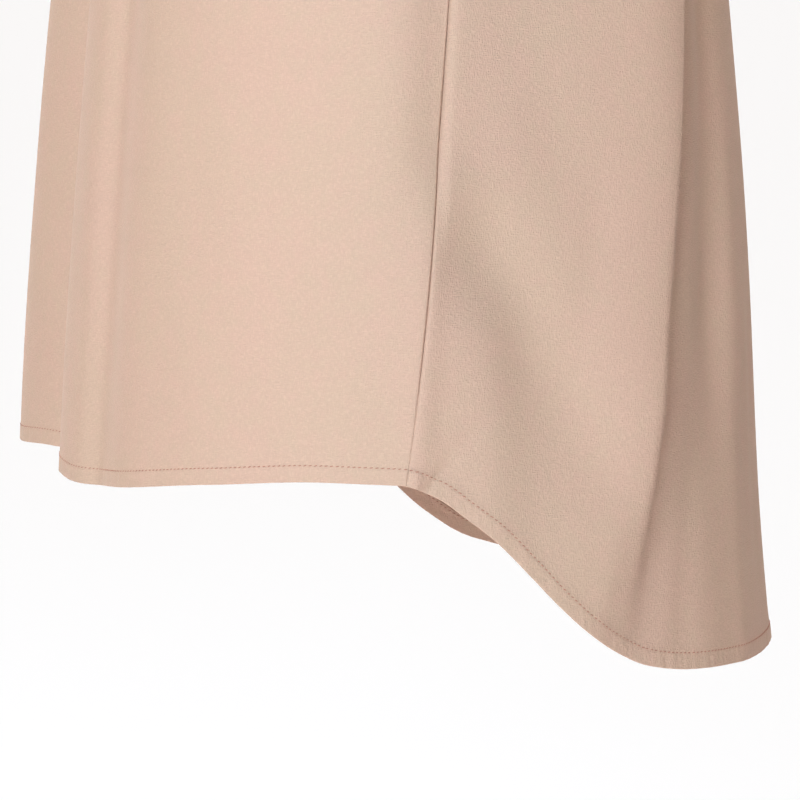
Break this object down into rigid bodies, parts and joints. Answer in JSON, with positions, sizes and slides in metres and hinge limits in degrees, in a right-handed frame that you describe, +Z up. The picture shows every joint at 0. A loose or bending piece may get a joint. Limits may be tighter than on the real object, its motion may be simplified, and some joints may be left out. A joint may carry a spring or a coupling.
{
  "type": "travel shirt",
  "caption": "Loose pull-on woven shirt with short sleeves, a round neck band and a curved hem that drops to a longer tail behind, hollow as it hangs on a wearer.",
  "frame": {"origin": "on the centre plane, level with the two neck points that the wearer's shoulders hold up", "axes": "+Z up, -Y towards the wearer's front, +X towards the wearer's left arm"},
  "size_m": [0.5728, 0.3443, 0.7831],
  "materials": {
    "cloth": "matte woven microfibre, dusty rose tan, fine heathered speckle",
    "thread": "spun sewing thread, reddish brown, matte"
  },
  "bodies": {
    "root": {"front_panel": "cloth", "back_panel": "cloth", "sleeve_left": "cloth", "sleeve_right": "cloth", "neck_band": "cloth"}
  },
  "joints": []
}
